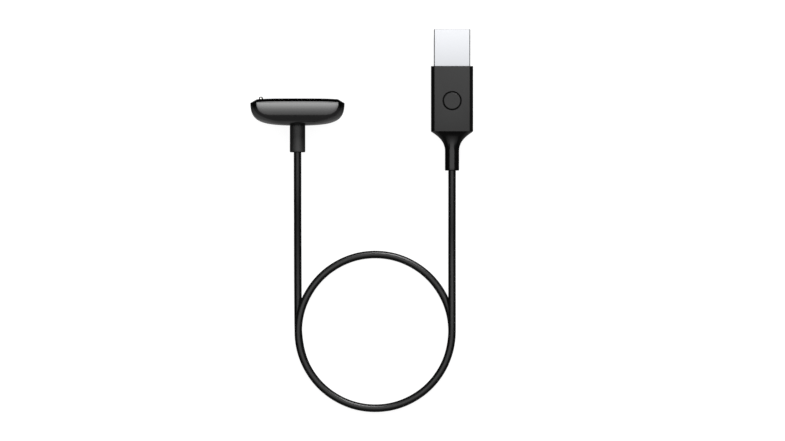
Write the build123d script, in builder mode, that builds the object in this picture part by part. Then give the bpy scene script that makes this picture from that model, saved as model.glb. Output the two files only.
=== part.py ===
"""Charging cable for a wrist tracker: a magnetic dock with two spring pins at one end, a round
cord that lies on the table with one loop and a half, and a USB-A plug with a round push button.

The dock lies on one long side, so its contact face looks along +Y and its collar along -Y.
X runs along the dock, Z is up from the table. The origin is on the table under the dock's middle.
"""
import math
import os

from build123d import *

# ---------------------------------------------------------------- driving dimensions, mm
# dock
DOCK_LENGTH = 31.0          # along X
DOCK_WIDTH = 17.0           # along Z, as it lies
DOCK_HEIGHT = 8.9           # contact face to the underside of the hull, along Y
DOCK_CORNER = 3.0           # corner radius of the outline
DOCK_WALL = 1.0
CROWN = 0.5                 # the contact face is this much lower at its ends
WALL_END = 0.24             # share of the depth where the long walls start to curve in
END_CURVE = ((1.0, 0.34), (0.94, 1.0), (0.26, 1.0))     # shares of half the width and the depth
SIDE_CURVE = ((0.99, 0.867), (0.779, 1.0), (0.0, 1.0))  # shares of half the length and the depth
BEVEL_DROP = 1.0            # bevel round the contact face, down its side
BEVEL_RUN = 2.1             # and in along its top
FACE_EDGE = 1.25            # thickness of the face plate at its edge
BOSS_DEPTH = 2.0            # underside of the boss that drops into the shell
FIT_GAP = 0.1
BOSS_GAP = 0.25             # round the boss, in the shell's mouth
OVERLAP = 0.3               # how far the boss runs up into the plate
ROOTED = 0.3                # how far a rib or a post runs into the shell's floor
RIB = (1.0, 10.0)
RIB_X = (4.0, 10.0)
POST_RADIUS = 0.8
POSTS = ((-8.5, 4.0), (-8.5, -4.0))

# spring pins
PIN_STAND = 0.6             # tip above the crown of the contact face
PIN_X = -12.05
PIN_PITCH = 6.0             # along Z
PIN_RADIUS = 0.6
PIN_TRAVEL = 0.8
BARREL_RADIUS = 0.95
BARREL_BORE = 0.8
BARREL_TOP = 1.6            # depths below the contact face
BARREL_FLOOR = 4.1
BARREL_END = 4.4
BARREL_LIP = 0.4            # thickness of the lip that holds the plunger in
PLAY = 0.02                 # round a barrel, in its seat
PIN_CLEARANCE = 0.03        # round a plunger, in its barrel
TAIL_RADIUS = 0.3
PIN_TIP_FILLET = 0.42
PIN_BLOCK = (3.2, 10.4)
PIN_BLOCK_CORNER = 0.5
TAIL_STAND = 0.3            # of a barrel's tail, below the board
STOP_THICKNESS = 0.4        # of the plunger's stop
SPRING_WIRE = 0.08
SPRING_RADIUS = 0.6
SPRING_TURNS = 4
PIN_BLOCK_X = PIN_X + 0.3
BOARD_THICKNESS = 0.6
BOARD_SIZE = (12.0, 11.0)
BOARD_CORNER = 1.0
BOARD_X = -6.9

# magnets
MAGNET_SIZE = (7.0, 1.8, 9.0)
MAGNET_X = {"magnet_near": -4.5, "magnet_far": 8.5}
MAGNET_CHAMFER = 0.15
YOKE_SIZE = (21.0, 9.6)
YOKE_X = 2.0
YOKE_THICKNESS = 0.5
YOKE_CORNER = 0.8

# collar and cord
COLLAR_RADIUS = 2.55
COLLAR_LENGTH = 8.8
COLLAR_EDGE = 0.35
COLLAR_HOLE = 1.9
FLANGE_RADIUS = 2.8
FLANGE_THICKNESS = 1.0
CORD_RADIUS = 1.25
LEAD_RADIUS = 0.25
LEAD_SPACING = 0.5          # of each lead from the cord's axis
LEAD_BEND = 0.4
LEAD_DROP = 0.6             # of the dock's leads, below the board
LEAD_PAD_X = -3.5

# the loop that the cord lies in
LOOP_X = 25.6
LOOP_Y = -68.3
LOOP_RADIUS = 25.4
LOOP_CORNERS = 12           # corners of the route in one full turn
ON_TABLE = CORD_RADIUS
ON_CORD = ON_TABLE + 2 * CORD_RADIUS + 0.15

# plug
PLUG_X = LOOP_X + LOOP_RADIUS
PLUG_FRONT = 19.35          # Y of the housing's front end
HOUSING_WIDTH = 13.9
HOUSING_THICKNESS = 7.8
HOUSING_LENGTH = 21.6
SIDE_BEVEL = (1.1, 1.9)     # in from each side and down from each broad face
HOUSING_EDGE = 0.15         # fillet round both ends
FRONT_WALL = 1.5
REAR_WALL = 1.0
CAVITY_WIDTH = 12.0
CAVITY_HEIGHT = 5.9
CAVITY_CORNER = 0.6
FLARE_LENGTH = 6.15
FLARE_CORNER = 2.6
NECK_RADIUS = 2.34
NECK_LENGTH = 6.75
NECK_EDGE = 0.25
FLARE_STATIONS = (0, 0.25, 0.5, 0.72)
ANCHOR_RADIUS = 2.0
LEAD_PASSAGE = 0.95
CRIMP_RADIUS = 1.7
CRIMP_LENGTH = 1.6
CRIMP_BACK = 0.4            # from the cord's end to the crimp
USB_WIDTH = 12.0
USB_HEIGHT = 4.5
USB_SHEET = 0.3
USB_CORNER = 0.4
LATCH_WINDOW = (2.4, 2.2)
LATCH_X = 3.1
LATCH_BACK = 5.2            # from the shell's tip to the windows' middle
USB_EXPOSED = 12.2
USB_INSIDE = 6.35           # of the shell, behind the housing's front end
TONGUE_HEIGHT = 1.9
TONGUE_BACK = 1.0           # of the tongue, inside the shell's tip and beyond its inner end
TONGUE_EDGE = 0.3
CONTACT_WIDTH = 1.0
CONTACT_THICKNESS = 0.15
CONTACT_TAIL = 1.5          # of each contact, beyond the tongue on the board
CONTACTS = ((-3.5, 1.4), (-1.0, 2.4), (1.0, 2.4), (3.5, 1.4))   # X, and back from the shell's tip
BUTTON_BACK = 11.45         # from the housing's front end to the button's middle
BUTTON_RADIUS = 2.72
BUTTON_HOLE = 3.2
BUTTON_EDGE = 0.12
BUTTON_TRAVEL = 0.3
BUTTON_FLANGE = (3.5, 0.55)     # radius and thickness of the rim that holds it in
BUTTON_STUB = 1.2
PCB_WIDTH = 11.2
PCB_THICKNESS = 0.8
PCB_CORNER = 0.5
# under the board: X, Y and size of each component
COMPONENTS = (
    (-2.3, 7.0, (3.4, 3.4, 0.8)),
    (2.9, 8.2, (1.6, 2.9, 1.0)),
    (1.6, 3.6, (1.0, 0.5, 0.5)),
    (3.4, 3.6, (1.0, 0.5, 0.5)),
    (-2.3, 3.2, (2.0, 1.25, 0.6)),
)
SWITCH_SIDE = 4.6
SWITCH_CORNER = 0.4
SWITCH_RECESS = (1.8, 0.7)      # radius and depth
SWITCH_HEIGHT = 1.0
COVER_SHEET = 0.2
COVER_HOLE = 1.1
COVER_TAB = 2.0
TAB_GAP = 0.3                   # from the tabs down to the board
DOME_RADIUS = 1.7
DOME_RISE = 0.45
DOME_SHEET = 0.1
STEM_FOOT = 1.3
STEM_RADIUS = 0.95
STEM_HEIGHT = 2.05              # above the board
PLUG_LEADS = ((0.45, 1.2), (1.6, 3.6))     # X from the axis, Y above the rear wall
PLUG_LEAD_BEND = 0.8

# ---------------------------------------------------------------- places worked out from them
AXIS_Z = DOCK_WIDTH / 2
PLUG_Z = HOUSING_THICKNESS / 2
FACE_Y = (DOCK_HEIGHT + COLLAR_LENGTH - PIN_STAND) / 2
MOUTH_Y = FACE_Y - DOCK_HEIGHT - COLLAR_LENGTH
HOUSING_END = PLUG_FRONT - HOUSING_LENGTH
FLARE_END = HOUSING_END - FLARE_LENGTH
NECK_END = FLARE_END - NECK_LENGTH
BUTTON_Y = PLUG_FRONT - BUTTON_BACK
HALF_LENGTH = DOCK_LENGTH / 2
HALF_WIDTH = DOCK_WIDTH / 2
BOARD_BOTTOM = BARREL_END + BOARD_THICKNESS
CAVITY_FLOOR = DOCK_HEIGHT - DOCK_WALL
FLANGE_DEPTH = CAVITY_FLOOR - FLANGE_THICKNESS      # inner face of the collar's flange
CORD_START_Y = FACE_Y - FLANGE_DEPTH
PIN_SPOTS = ((PIN_X, PIN_PITCH / 2), (PIN_X, -PIN_PITCH / 2))
CORD_END_Y = -6.0

SIDE_VIEW = Plane(origin=(0, FACE_Y, AXIS_Z), x_dir=(1, 0, 0), z_dir=(0, 0, 1))
END_VIEW = Plane(origin=(0, FACE_Y, AXIS_Z), x_dir=(0, 0, 1), z_dir=(-1, 0, 0))

pieces = {}


def face_plane(depth):
    """Plane parallel to the contact face, this deep below it, looking into the dock."""
    return Plane(origin=(0, FACE_Y - depth, AXIS_Z), x_dir=(1, 0, 0), z_dir=(0, -1, 0))


def plug_plane(y):
    """Cross-section plane of the plug, looking back along it towards the cord."""
    return Plane(origin=(PLUG_X, y, PLUG_Z), x_dir=(1, 0, 0), z_dir=(0, -1, 0))


def level(z, x=PLUG_X, y=BUTTON_Y):
    """Horizontal plane at height z, centred on the push button unless said otherwise."""
    return Plane(origin=(x, y, z))


def keep(name, builder):
    """Label a finished piece and hold it for export."""
    builder.part.label = name
    pieces[name] = builder.part


# ---------------------------------------------------------------- dock: face plate and shell
def crowned(drop, half):
    """Shallow arc from side to side, drop below the face in the middle and CROWN more at its ends."""
    return ThreePointArc((-half, -(drop + CROWN)), (0, -drop), (half, -(drop + CROWN)))


def hull(half_length, half_width, rim, bottom, corner):
    """Boat-shaped solid: the shell's outside, or its cavity. Depths are below the contact face."""
    side_view = [(x * half_length, -y * bottom) for x, y in SIDE_CURVE]
    end_view = [(x * half_width, -y * bottom) for x, y in ((1.0, WALL_END), *END_CURVE)]
    with BuildPart() as body:
        with BuildSketch(SIDE_VIEW):
            with BuildLine():
                crowned(rim, half_length)
                for side in (1, -1):
                    start = (side * half_length, -(rim + CROWN))
                    Bezier(start, *((side * x, y) for x, y in side_view))
            make_face()
        extrude(amount=half_width + 1, both=True)
        with BuildSketch(END_VIEW):
            with BuildLine():
                Line((half_width, 0), (-half_width, 0))
                Line(end_view[-1], (-end_view[-1][0], -bottom))
                for side in (1, -1):
                    Line((side * half_width, 0), (side * half_width, end_view[0][1]))
                    Bezier(*((side * x, y) for x, y in end_view))
            make_face()
        extrude(amount=half_length + 1, both=True, mode=Mode.INTERSECT)
        with BuildSketch(face_plane(0)):
            RectangleRounded(2 * half_length, 2 * half_width, corner)
        extrude(amount=bottom + 1, mode=Mode.INTERSECT)
    return body.part


hull_outside = hull(HALF_LENGTH, HALF_WIDTH, FACE_EDGE, DOCK_HEIGHT, DOCK_CORNER)
hull_cavity = hull(
    HALF_LENGTH - DOCK_WALL, HALF_WIDTH - DOCK_WALL, 0, DOCK_HEIGHT - DOCK_WALL, DOCK_CORNER - DOCK_WALL
)
YOKE_BOTTOM = BOSS_DEPTH + MAGNET_SIZE[1] + YOKE_THICKNESS

with BuildPart() as dock_shell:
    add(hull_outside)
    add(hull_cavity, mode=Mode.SUBTRACT)
    # two ribs hold the magnets' yoke up against the face plate
    with BuildSketch(face_plane(YOKE_BOTTOM)):
        with Locations(*((x, 0) for x in RIB_X)):
            Rectangle(*RIB)
    extrude(amount=CAVITY_FLOOR - YOKE_BOTTOM + ROOTED)
    # two posts under the contact board
    with BuildSketch(face_plane(BOARD_BOTTOM)):
        with Locations(*POSTS):
            Circle(POST_RADIUS)
    extrude(amount=CAVITY_FLOOR - BOARD_BOTTOM + ROOTED)
    # hole for the collar
    with BuildSketch(face_plane(FLANGE_DEPTH)):
        Circle(COLLAR_HOLE)
    extrude(amount=DOCK_HEIGHT, mode=Mode.SUBTRACT)
keep("dock_shell", dock_shell)

with BuildPart() as dock_face:
    with BuildSketch(SIDE_VIEW):
        with BuildLine():
            crowned(0, HALF_LENGTH)
            crowned(FACE_EDGE, HALF_LENGTH)
            for side in (1, -1):
                Line((side * HALF_LENGTH, -CROWN), (side * HALF_LENGTH, -(FACE_EDGE + CROWN)))
        make_face()
    extrude(amount=HALF_WIDTH, both=True)
    with BuildSketch(face_plane(-1)):
        RectangleRounded(DOCK_LENGTH, DOCK_WIDTH, DOCK_CORNER)
    extrude(amount=DOCK_HEIGHT, mode=Mode.INTERSECT)
    top = dock_face.faces().sort_by(Axis.Y)[-1]
    chamfer(top.outer_wire().edges(), length=BEVEL_RUN, length2=BEVEL_DROP, reference=top)
    # boss that drops into the shell
    with BuildSketch(face_plane(FACE_EDGE - OVERLAP)):
        RectangleRounded(
            DOCK_LENGTH - 2 * (DOCK_WALL + BOSS_GAP),
            DOCK_WIDTH - 2 * (DOCK_WALL + BOSS_GAP),
            DOCK_CORNER - DOCK_WALL - BOSS_GAP,
        )
    extrude(amount=BOSS_DEPTH - FACE_EDGE + OVERLAP)
    # holes for the pins, and the wider bores above their barrels
    with BuildSketch(face_plane(-1)):
        with Locations(*PIN_SPOTS):
            Circle(PIN_RADIUS + FIT_GAP)
    extrude(amount=DOCK_HEIGHT, mode=Mode.SUBTRACT)
    with BuildSketch(face_plane(BARREL_TOP)):
        with Locations(*PIN_SPOTS):
            Circle(BARREL_RADIUS + PLAY)
    extrude(amount=BOSS_DEPTH, mode=Mode.SUBTRACT)
keep("dock_face", dock_face)

# ---------------------------------------------------------------- dock: spring pins
pin_sides = {"near": -1, "far": 1}      # near the table, far from it

with BuildPart() as pin_housing:
    with BuildSketch(face_plane(BOSS_DEPTH)):
        with Locations((PIN_BLOCK_X, 0)):
            RectangleRounded(*PIN_BLOCK, PIN_BLOCK_CORNER)
        with Locations(*PIN_SPOTS):
            Circle(BARREL_RADIUS + PLAY, mode=Mode.SUBTRACT)
    extrude(amount=BARREL_END - BOSS_DEPTH)
keep("pin_housing", pin_housing)

with BuildPart() as pin_barrels:
    for side in pin_sides.values():
        with BuildSketch(face_plane(BARREL_TOP)):
            with Locations((PIN_X, side * PIN_PITCH / 2)):
                Circle(BARREL_RADIUS)
                Circle(PIN_RADIUS + PIN_CLEARANCE, mode=Mode.SUBTRACT)
        extrude(amount=BARREL_LIP)
        with BuildSketch(face_plane(BARREL_TOP + BARREL_LIP)):
            with Locations((PIN_X, side * PIN_PITCH / 2)):
                Circle(BARREL_RADIUS)
                Circle(BARREL_BORE, mode=Mode.SUBTRACT)
        extrude(amount=BARREL_FLOOR - BARREL_TOP - BARREL_LIP)
        with BuildSketch(face_plane(BARREL_FLOOR)):
            with Locations((PIN_X, side * PIN_PITCH / 2)):
                Circle(BARREL_RADIUS)
        extrude(amount=BARREL_END - BARREL_FLOOR)
        # tail soldered through the board
        with BuildSketch(face_plane(BARREL_END)):
            with Locations((PIN_X, side * PIN_PITCH / 2)):
                Circle(TAIL_RADIUS)
        extrude(amount=BOARD_THICKNESS + TAIL_STAND)
keep("pin_barrels", pin_barrels)

STOP_TOP = BARREL_TOP + BARREL_LIP + PIN_CLEARANCE      # the plunger's stop, just under the lip
SPRING_TOP = STOP_TOP + STOP_THICKNESS

for name, side in pin_sides.items():
    with BuildPart() as plunger:
        with BuildSketch(face_plane(-PIN_STAND)):
            with Locations((PIN_X, side * PIN_PITCH / 2)):
                Circle(PIN_RADIUS)
        extrude(amount=PIN_STAND + STOP_TOP)
        fillet(plunger.edges().group_by(Axis.Y)[-1], radius=PIN_TIP_FILLET)
        with BuildSketch(face_plane(STOP_TOP)):
            with Locations((PIN_X, side * PIN_PITCH / 2)):
                Circle(BARREL_BORE - PIN_CLEARANCE)
        extrude(amount=SPRING_TOP - STOP_TOP)
    keep(f"pin_plunger_{name}", plunger)

    spring_height = BARREL_FLOOR - SPRING_TOP - 2 * SPRING_WIRE
    with BuildPart() as spring:
        with BuildLine() as coil:
            Helix(
                pitch=spring_height / SPRING_TURNS,
                height=spring_height,
                radius=SPRING_RADIUS,
                center=(PIN_X, FACE_Y - SPRING_TOP - SPRING_WIRE, AXIS_Z + side * PIN_PITCH / 2),
                direction=(0, -1, 0),
            )
        with BuildSketch(Plane(coil.line @ 0, z_dir=coil.line % 0)):
            Circle(SPRING_WIRE)
        sweep(path=coil.line, is_frenet=True)
    keep(f"pin_spring_{name}", spring)

# ---------------------------------------------------------------- dock: magnets, board, leads
for name, x in MAGNET_X.items():
    with BuildPart() as magnet:
        with BuildSketch(face_plane(BOSS_DEPTH)):
            with Locations((x, 0)):
                Rectangle(MAGNET_SIZE[0], MAGNET_SIZE[2])
        extrude(amount=MAGNET_SIZE[1])
        chamfer(magnet.edges(), length=MAGNET_CHAMFER)
    keep(name, magnet)

with BuildPart() as magnet_yoke:
    with BuildSketch(face_plane(BOSS_DEPTH + MAGNET_SIZE[1])):
        with Locations((YOKE_X, 0)):
            RectangleRounded(*YOKE_SIZE, YOKE_CORNER)
    extrude(amount=YOKE_THICKNESS)
keep("magnet_yoke", magnet_yoke)

with BuildPart() as dock_board:
    with BuildSketch(face_plane(BARREL_END)):
        with Locations((BOARD_X, 0)):
            RectangleRounded(*BOARD_SIZE, BOARD_CORNER)
        with Locations(*PIN_SPOTS):
            Circle(TAIL_RADIUS + PLAY, mode=Mode.SUBTRACT)
    extrude(amount=BOARD_THICKNESS)
keep("dock_board", dock_board)

for name, side in {"dock_lead_red": 1, "dock_lead_black": -1}.items():
    z = AXIS_Z + side * LEAD_SPACING
    run_y = FACE_Y - BOARD_BOTTOM - LEAD_DROP
    with BuildPart() as lead:
        with BuildLine() as route:
            FilletPolyline(
                (0, CORD_START_Y, z),
                (0, run_y, z),
                (LEAD_PAD_X, run_y, z),
                (LEAD_PAD_X, FACE_Y - BOARD_BOTTOM, z),
                radius=LEAD_BEND,
            )
        with BuildSketch(Plane(route.line @ 0, z_dir=route.line % 0)):
            Circle(LEAD_RADIUS)
        sweep(path=route.line)
    keep(name, lead)

# ---------------------------------------------------------------- dock: collar
with BuildPart() as dock_boot:
    with BuildSketch(face_plane(FLANGE_DEPTH)):
        Circle(FLANGE_RADIUS)
    extrude(amount=CAVITY_FLOOR - FIT_GAP - FLANGE_DEPTH)
    with BuildSketch(face_plane(CAVITY_FLOOR - FIT_GAP)):
        Circle(COLLAR_HOLE - PLAY)
    extrude(amount=DOCK_WALL + FIT_GAP)
    with BuildSketch(face_plane(DOCK_HEIGHT)):
        Circle(COLLAR_RADIUS)
    extrude(amount=COLLAR_LENGTH)
    fillet(dock_boot.edges().group_by(Axis.Y)[0], radius=COLLAR_EDGE)
    with BuildSketch(face_plane(FLANGE_DEPTH)):
        Circle(CORD_RADIUS)
    extrude(amount=DOCK_HEIGHT + COLLAR_LENGTH, mode=Mode.SUBTRACT)
keep("dock_boot", dock_boot)


# ---------------------------------------------------------------- cord
def loop_corner(index, z):
    """Corner of the route round the loop. Index 0 is the first below the loop's left side."""
    step = 2 * math.pi / LOOP_CORNERS
    angle = math.pi + step * (index + 0.5)
    reach = LOOP_RADIUS / math.cos(step / 2)
    return (LOOP_X + reach * math.cos(angle), LOOP_Y + reach * math.sin(angle), z)


# Heights of the corners: round the bottom, up the right side and over the top on the table,
# then up on to the cord that came from the dock, and round the bottom again lying on it.
lower_turn = [ON_TABLE] * 10 + [ON_TABLE + 1.3]
upper_turn = [ON_CORD + 0.2, ON_CORD + 0.1] + [ON_CORD] * 5

leave_dock = [
    (0, CORD_START_Y, AXIS_Z),
    (0, -19.0, AXIS_Z),
    (0, -39.0, 3.0),
    (0.05, -56.5, ON_TABLE),
]
loop = [loop_corner(i, z) for i, z in enumerate(lower_turn + upper_turn)]
reach_plug = [
    (PLUG_X, -59.5, ON_CORD + 0.15),
    (PLUG_X, -43.0, 0.65),
    (PLUG_X, -24.5, PLUG_Z),
    (PLUG_X, CORD_END_Y, PLUG_Z),
]
cord_points = [Vector(*p) for p in leave_dock + loop + reach_plug]


def arc_radii(points):
    """Radius at each inner point: as large as its two runs allow."""
    radii = []
    for before, here, after in zip(points, points[1:], points[2:]):
        shorter = min((here - before).length, (after - here).length)
        turn = math.radians((here - before).get_angle(after - here))
        radii.append(0.45 * shorter / math.tan(turn / 2))
    return radii


cord_radii = arc_radii(cord_points)

with BuildPart() as cord:
    with BuildLine() as cord_route:
        FilletPolyline(*cord_points, radius=cord_radii)
    with BuildSketch(Plane(cord_route.line @ 0, z_dir=cord_route.line % 0)):
        Circle(CORD_RADIUS)
    sweep(path=cord_route.line)
keep("cord", cord)


# ---------------------------------------------------------------- plug: housing and boot
def plug_housing():
    """The housing in one piece, before it is cut into its front and rear halves."""
    with BuildPart() as body:
        with BuildSketch(plug_plane(PLUG_FRONT)):
            with BuildLine():
                half_width, half_thickness = HOUSING_WIDTH / 2, HOUSING_THICKNESS / 2
                flat, side = half_width - SIDE_BEVEL[0], half_thickness - SIDE_BEVEL[1]
                Polyline(
                    (flat, half_thickness),
                    (half_width, side),
                    (half_width, -side),
                    (flat, -half_thickness),
                    (-flat, -half_thickness),
                    (-half_width, -side),
                    (-half_width, side),
                    (-flat, half_thickness),
                    close=True,
                )
            make_face()
        extrude(amount=HOUSING_LENGTH)
        for end in (body.faces().sort_by(Axis.Y)[0], body.faces().sort_by(Axis.Y)[-1]):
            fillet(end.edges(), radius=HOUSING_EDGE)
        with BuildSketch(plug_plane(PLUG_FRONT - FRONT_WALL)):
            RectangleRounded(CAVITY_WIDTH, CAVITY_HEIGHT, CAVITY_CORNER)
        extrude(amount=HOUSING_LENGTH - FRONT_WALL - REAR_WALL, mode=Mode.SUBTRACT)
        with BuildSketch(plug_plane(PLUG_FRONT)):
            RectangleRounded(USB_WIDTH, USB_HEIGHT, USB_CORNER)
        extrude(amount=FRONT_WALL, mode=Mode.SUBTRACT)
        with BuildSketch(plug_plane(HOUSING_END + REAR_WALL)):
            Circle(ANCHOR_RADIUS)
        extrude(amount=REAR_WALL, mode=Mode.SUBTRACT)
    return body.part


housing = plug_housing()

with BuildPart() as plug_front_shell:
    add(housing)
    split(bisect_by=Plane.XY.offset(PLUG_Z), keep=Keep.TOP)
    with BuildSketch(level(PLUG_Z)):
        Circle(BUTTON_HOLE)
    extrude(amount=HOUSING_THICKNESS, mode=Mode.SUBTRACT)
keep("plug_front_shell", plug_front_shell)

with BuildPart() as plug_rear_shell:
    add(housing)
    split(bisect_by=Plane.XY.offset(PLUG_Z), keep=Keep.BOTTOM)
keep("plug_rear_shell", plug_rear_shell)


def flare(share):
    """Half width, half thickness and corner radius this far down the flare, from 0 to 1."""
    def bezier(a, b, c, d, t):
        return a * (1 - t) ** 3 + 3 * b * t * (1 - t) ** 2 + 3 * c * t * t * (1 - t) + d * t ** 3

    down = bezier(0, 0.264, 0.527, 1.07, share)
    wide = bezier(HOUSING_WIDTH / 2, 0.65 * HOUSING_WIDTH / 2, NECK_RADIUS, NECK_RADIUS, share)
    thick = bezier(HOUSING_THICKNESS / 2, 0.64 * HOUSING_THICKNESS / 2, NECK_RADIUS, NECK_RADIUS, share)
    return min(down, 1) * FLARE_LENGTH, wide, thick, min(FLARE_CORNER, 0.96 * thick)


ANCHOR_TOP = HOUSING_END + REAR_WALL + FLANGE_THICKNESS
CRIMP_TOP = CORD_END_Y - CRIMP_BACK

with BuildPart() as plug_boot:
    for share in FLARE_STATIONS:
        down, wide, thick, corner = flare(share)
        with BuildSketch(plug_plane(HOUSING_END - down)):
            RectangleRounded(2 * wide, 2 * thick, corner)
    with BuildSketch(plug_plane(FLARE_END)):
        Circle(NECK_RADIUS)
    loft()
    with BuildSketch(plug_plane(FLARE_END)):
        Circle(NECK_RADIUS)
    extrude(amount=NECK_LENGTH)
    fillet(plug_boot.edges().group_by(Axis.Y)[0], radius=NECK_EDGE)
    # anchor that locks into the housing's rear wall
    with BuildSketch(plug_plane(HOUSING_END + REAR_WALL)):
        Circle(ANCHOR_RADIUS - PLAY)
    extrude(amount=REAR_WALL)
    with BuildSketch(plug_plane(ANCHOR_TOP)):
        Circle(FLANGE_RADIUS)
    extrude(amount=FLANGE_THICKNESS)
    # passage for the cord, its crimp and its leads
    with BuildSketch(plug_plane(ANCHOR_TOP)):
        Circle(LEAD_PASSAGE)
    extrude(amount=ANCHOR_TOP - CORD_END_Y, mode=Mode.SUBTRACT)
    with BuildSketch(plug_plane(CORD_END_Y)):
        Circle(CORD_RADIUS)
    extrude(amount=CORD_END_Y - NECK_END, mode=Mode.SUBTRACT)
    with BuildSketch(plug_plane(CRIMP_TOP)):
        Circle(CRIMP_RADIUS)
    extrude(amount=CRIMP_LENGTH, mode=Mode.SUBTRACT)
keep("plug_boot", plug_boot)

with BuildPart() as cord_crimp:
    with BuildSketch(plug_plane(CRIMP_TOP)):
        Circle(CRIMP_RADIUS)
        Circle(CORD_RADIUS, mode=Mode.SUBTRACT)
    extrude(amount=CRIMP_LENGTH)
keep("cord_crimp", cord_crimp)

# ---------------------------------------------------------------- plug: connector
SHELL_TIP = PLUG_FRONT + USB_EXPOSED
SHELL_END = PLUG_FRONT - USB_INSIDE
INNER_WIDTH = USB_WIDTH - 2 * USB_SHEET
INNER_HEIGHT = USB_HEIGHT - 2 * USB_SHEET
TONGUE_TOP = PLUG_Z - INNER_HEIGHT / 2 + TONGUE_HEIGHT
TONGUE_END = SHELL_END - TONGUE_BACK
TONGUE_TIP = SHELL_TIP - TONGUE_BACK

with BuildPart() as usb_shell:
    with BuildSketch(plug_plane(SHELL_TIP)):
        RectangleRounded(USB_WIDTH, USB_HEIGHT, USB_CORNER)
        RectangleRounded(INNER_WIDTH, INNER_HEIGHT, USB_CORNER - USB_SHEET, mode=Mode.SUBTRACT)
    extrude(amount=SHELL_TIP - SHELL_END)
    # two latch windows in the rear face
    with BuildSketch(level(0, y=SHELL_TIP - LATCH_BACK)):
        with Locations((LATCH_X, 0), (-LATCH_X, 0)):
            Rectangle(*LATCH_WINDOW)
    extrude(amount=PLUG_Z, mode=Mode.SUBTRACT)
keep("usb_shell", usb_shell)

with BuildPart() as usb_tongue:
    with BuildSketch(level(TONGUE_TOP - TONGUE_HEIGHT, y=(TONGUE_TIP + TONGUE_END) / 2)):
        Rectangle(INNER_WIDTH - FIT_GAP, TONGUE_TIP - TONGUE_END)
    extrude(amount=TONGUE_HEIGHT)
    fillet(usb_tongue.edges().filter_by(Axis.Y).group_by(Axis.Z)[0], radius=TONGUE_EDGE)
keep("usb_tongue", usb_tongue)

CONTACT_END = TONGUE_END - CONTACT_TAIL
with BuildPart() as usb_contacts:
    for x, tip in CONTACTS:
        start = SHELL_TIP - tip
        with BuildSketch(level(TONGUE_TOP, x=PLUG_X + x, y=(start + CONTACT_END) / 2)):
            Rectangle(CONTACT_WIDTH, start - CONTACT_END)
        extrude(amount=CONTACT_THICKNESS)
keep("usb_contacts", usb_contacts)

# ---------------------------------------------------------------- plug: board and switch
BOARD_TOP = TONGUE_TOP
BOARD_LENGTH = TONGUE_END - 0.5         # its end is 0.5 beyond Y 0
BASE_TOP = BOARD_TOP + SWITCH_HEIGHT
RECESS_FLOOR = BASE_TOP - SWITCH_RECESS[1]
DOME_TOP = RECESS_FLOOR + DOME_RISE
COVER_TOP = BASE_TOP + COVER_SHEET
STEM_TOP = BOARD_TOP + STEM_HEIGHT
FLANGE_TOP = PLUG_Z + CAVITY_HEIGHT / 2 - FIT_GAP / 2
FLANGE_BOTTOM = FLANGE_TOP - BUTTON_FLANGE[1]

with BuildPart() as plug_board:
    with BuildSketch(level(BOARD_TOP - PCB_THICKNESS, y=TONGUE_END - BOARD_LENGTH / 2)):
        RectangleRounded(PCB_WIDTH, BOARD_LENGTH, PCB_CORNER)
    extrude(amount=PCB_THICKNESS)
keep("plug_board", plug_board)

with BuildPart() as board_components:
    for x, y, (width, length, height) in COMPONENTS:
        with BuildSketch(level(BOARD_TOP - PCB_THICKNESS - height, x=PLUG_X + x, y=y)):
            Rectangle(width, length)
        extrude(amount=height)
keep("board_components", board_components)

with BuildPart() as switch_base:
    with BuildSketch(level(BOARD_TOP)):
        RectangleRounded(SWITCH_SIDE, SWITCH_SIDE, SWITCH_CORNER)
    extrude(amount=BASE_TOP - BOARD_TOP)
    with BuildSketch(level(RECESS_FLOOR)):
        Circle(SWITCH_RECESS[0])
    extrude(amount=BASE_TOP - RECESS_FLOOR, mode=Mode.SUBTRACT)
keep("switch_base", switch_base)

with BuildPart() as switch_cover:
    with BuildSketch(level(BASE_TOP)):
        Rectangle(SWITCH_SIDE, SWITCH_SIDE)
        Circle(COVER_HOLE, mode=Mode.SUBTRACT)
    extrude(amount=COVER_SHEET)
    # tabs that fold down over two sides of the base
    tab_x = (SWITCH_SIDE + COVER_SHEET) / 2
    with BuildSketch(level(BOARD_TOP + TAB_GAP)):
        with Locations((tab_x, 0), (-tab_x, 0)):
            Rectangle(COVER_SHEET, COVER_TAB)
    extrude(amount=COVER_TOP - BOARD_TOP - TAB_GAP)
keep("switch_cover", switch_cover)

dome_under = DOME_TOP - DOME_SHEET
with BuildPart() as switch_dome:
    with BuildSketch(Plane(origin=(PLUG_X, BUTTON_Y, 0), x_dir=(1, 0, 0), z_dir=(0, -1, 0))):
        with BuildLine():
            rim_top = (DOME_RADIUS, RECESS_FLOOR + DOME_SHEET)
            Bezier((0, DOME_TOP), (DOME_RADIUS / 2, DOME_TOP), rim_top)
            Line(rim_top, (DOME_RADIUS, RECESS_FLOOR))
            Bezier((DOME_RADIUS, RECESS_FLOOR), (DOME_RADIUS / 2, dome_under), (0, dome_under))
            Line((0, dome_under), (0, DOME_TOP))
        make_face()
    revolve(axis=Axis((PLUG_X, BUTTON_Y, 0), (0, 0, 1)))
keep("switch_dome", switch_dome)

foot_top = BASE_TOP - PIN_CLEARANCE
with BuildPart() as switch_stem:
    with BuildSketch(level(DOME_TOP)):
        Circle(STEM_FOOT)
    extrude(amount=foot_top - DOME_TOP)
    with BuildSketch(level(foot_top)):
        Circle(STEM_RADIUS)
    extrude(amount=STEM_TOP - foot_top)
keep("switch_stem", switch_stem)

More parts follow.
